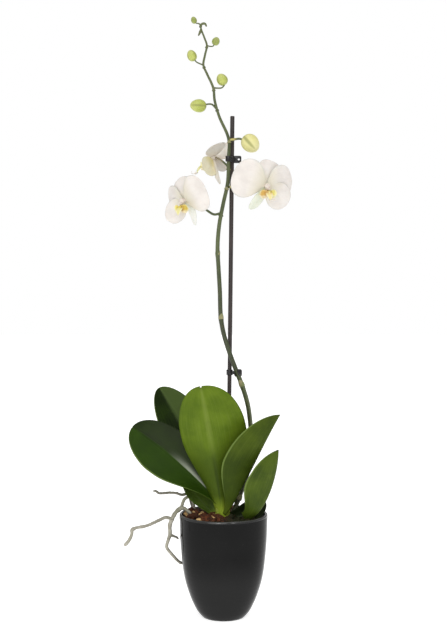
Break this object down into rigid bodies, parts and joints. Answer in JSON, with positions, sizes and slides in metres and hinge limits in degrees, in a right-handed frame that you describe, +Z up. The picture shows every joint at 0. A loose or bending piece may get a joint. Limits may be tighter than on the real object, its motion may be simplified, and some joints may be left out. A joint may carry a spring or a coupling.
{
  "type": "potted orchid",
  "caption": "White moth orchid in a glossy dark grey pot: an arching flower spike clipped to a thin brown stake, over broad green leaves and grey aerial roots.",
  "frame": {"origin": "middle of the pot's foot, on the surface that it stands on", "axes": "+Z up along the pot's axis, -Y towards the viewer of the picture, +X to the viewer's right"},
  "size_m": [0.2487, 0.1389, 0.8874],
  "materials": {
    "pot_glaze": "deep glossy anthracite glaze",
    "nursery_plastic": "thin dark plastic, hidden in the pot",
    "bark": "rough red-brown conifer bark chips with pale broken faces",
    "crown_green": "living tissue, yellow-green, waxy",
    "leaf_light": "living leaf seen from below, light yellow-green, satin",
    "leaf_dark": "living leaf, deep green, waxy sheen on its upper face",
    "spike_green": "living flower stem, grey-green, satin",
    "root": "dry grey-beige skin of an aerial root, matt",
    "bud_green": "living bud, yellow-green, waxy",
    "bud_cream": "living bud about to open, cream-yellow, waxy",
    "petal": "living petal, white, finely crystalline and matt",
    "lip": "living lip, orange-yellow to cream, matt",
    "stake_plastic": "purplish brown coated rod",
    "clip_plastic": "near-black moulded plastic"
  },
  "bodies": {
    "root": {"pot": "pot_glaze", "grow_pot": "nursery_plastic", "bark": "bark", "crown": "crown_green", "leaf_front": "leaf_light", "leaf_right": "leaf_dark", "leaf_right_low": "leaf_dark", "leaf_left": "leaf_dark", "leaf_left_back": "leaf_dark", "leaf_left_low": "leaf_dark", "leaf_right_back": "leaf_dark", "roots_hanging": "root", "root_upper": "root", "spike": "spike_green", "bud_a": "bud_green", "bud_b": "bud_green", "bud_c": "bud_green", "bud_d": "bud_green", "bud_e": "bud_green", "bud_f": "bud_cream", "bloom_right": "petal", "lip_right": "lip", "bloom_left": "petal", "lip_left": "lip", "bloom_back": "petal", "lip_back": "lip", "stake": "stake_plastic", "clip_upper": "clip_plastic", "clip_lower": "clip_plastic"}
  },
  "joints": []
}
